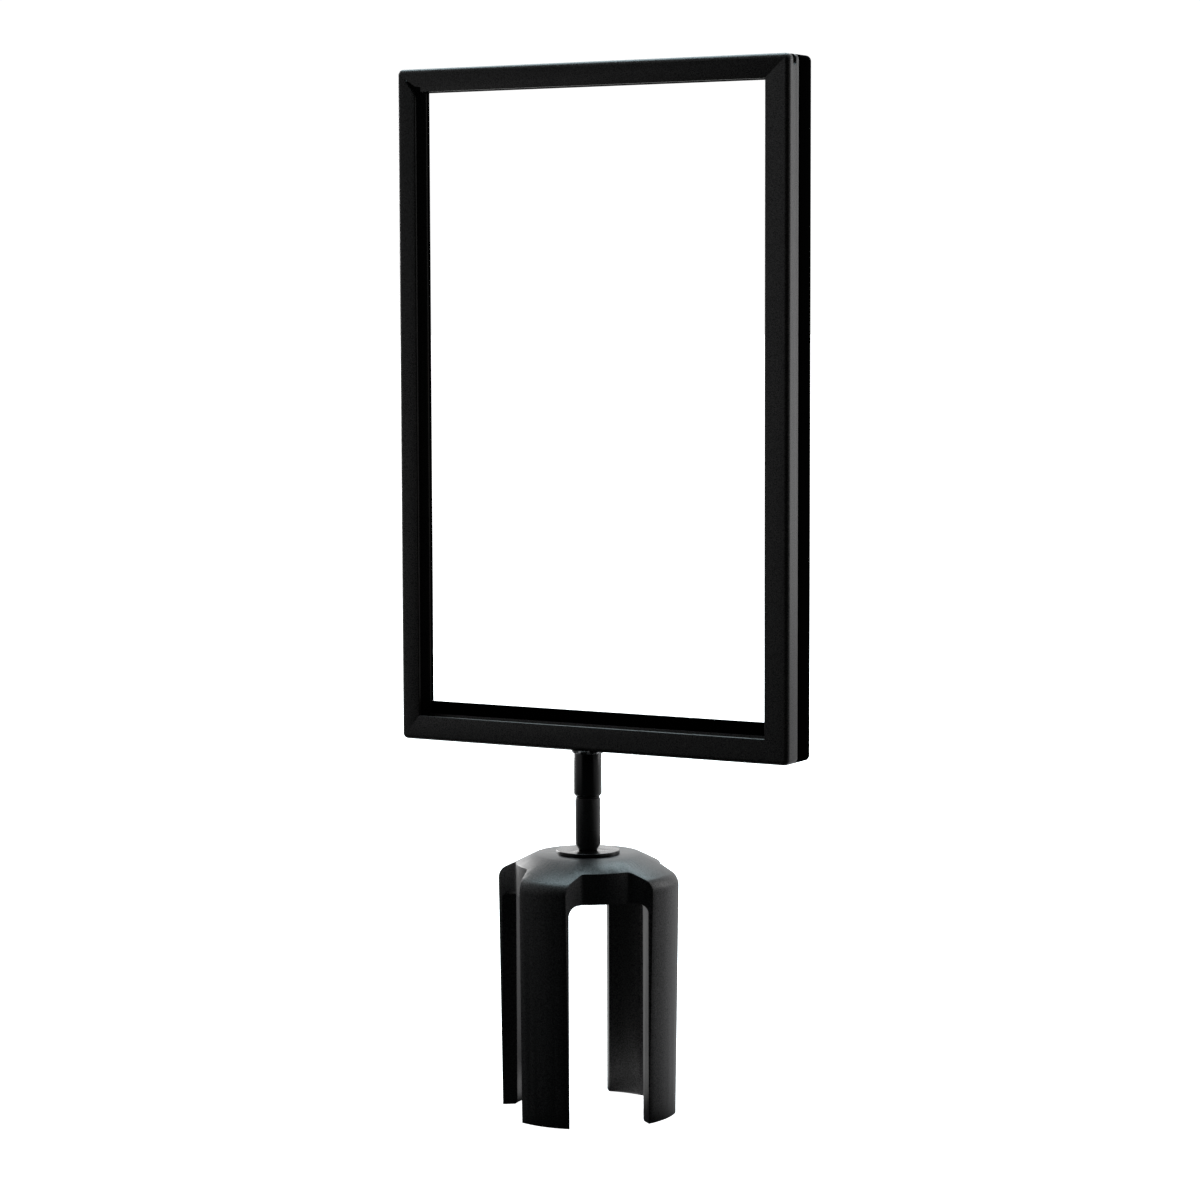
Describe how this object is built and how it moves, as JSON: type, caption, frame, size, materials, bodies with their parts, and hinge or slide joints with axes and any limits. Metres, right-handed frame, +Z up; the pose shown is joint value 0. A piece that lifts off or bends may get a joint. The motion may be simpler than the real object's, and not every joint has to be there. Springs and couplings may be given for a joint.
{
  "type": "post-top sign frame",
  "caption": "Black portrait sign frame on a short swivel stem, with a four-legged cap that slips over a barrier post.",
  "frame": {"origin": "on the stem axis, level with the ends of the cap's four legs", "axes": "+Z up along the stem, -Y the side that the sign faces, +X to the right for its reader"},
  "size_m": [0.1905, 0.0798, 0.4486],
  "materials": {
    "satin_black_steel": "satin black powder coat",
    "matte_black_trim": "dead matte black",
    "gloss_black_stem": "semi-gloss black paint",
    "black_nylon": "smooth",
    "moulded_black_plastic": "fine moulded texture",
    "zinc_steel": "bright zinc plate"
  },
  "bodies": {
    "adapter": {"adapter_cap": "moulded_black_plastic", "cap_washer": "gloss_black_stem", "standoff": "gloss_black_stem", "swivel_washer": "black_nylon", "threaded_stud": "zinc_steel", "under_washer": "zinc_steel", "lock_washer": "zinc_steel", "hex_nut": "zinc_steel"},
    "sign_frame": {"left_stile": "satin_black_steel", "right_stile": "satin_black_steel", "bottom_rail": "satin_black_steel", "top_rail_front": "satin_black_steel", "top_rail_rear": "satin_black_steel", "corner_welds": "satin_black_steel", "rear_trim_left": "matte_black_trim", "rear_trim_right": "matte_black_trim", "rear_trim_top": "matte_black_trim", "rear_trim_bottom": "matte_black_trim", "ferrule": "gloss_black_stem", "ferrule_weld": "gloss_black_stem"}
  },
  "joints": [
    {"name": "sign_swivel", "type": "hinge", "parent": "adapter", "child": "sign_frame", "pos_m": [0, 0, 0.1367], "axis": [0, 0, 1], "range_deg": [-180, 180]}
  ]
}
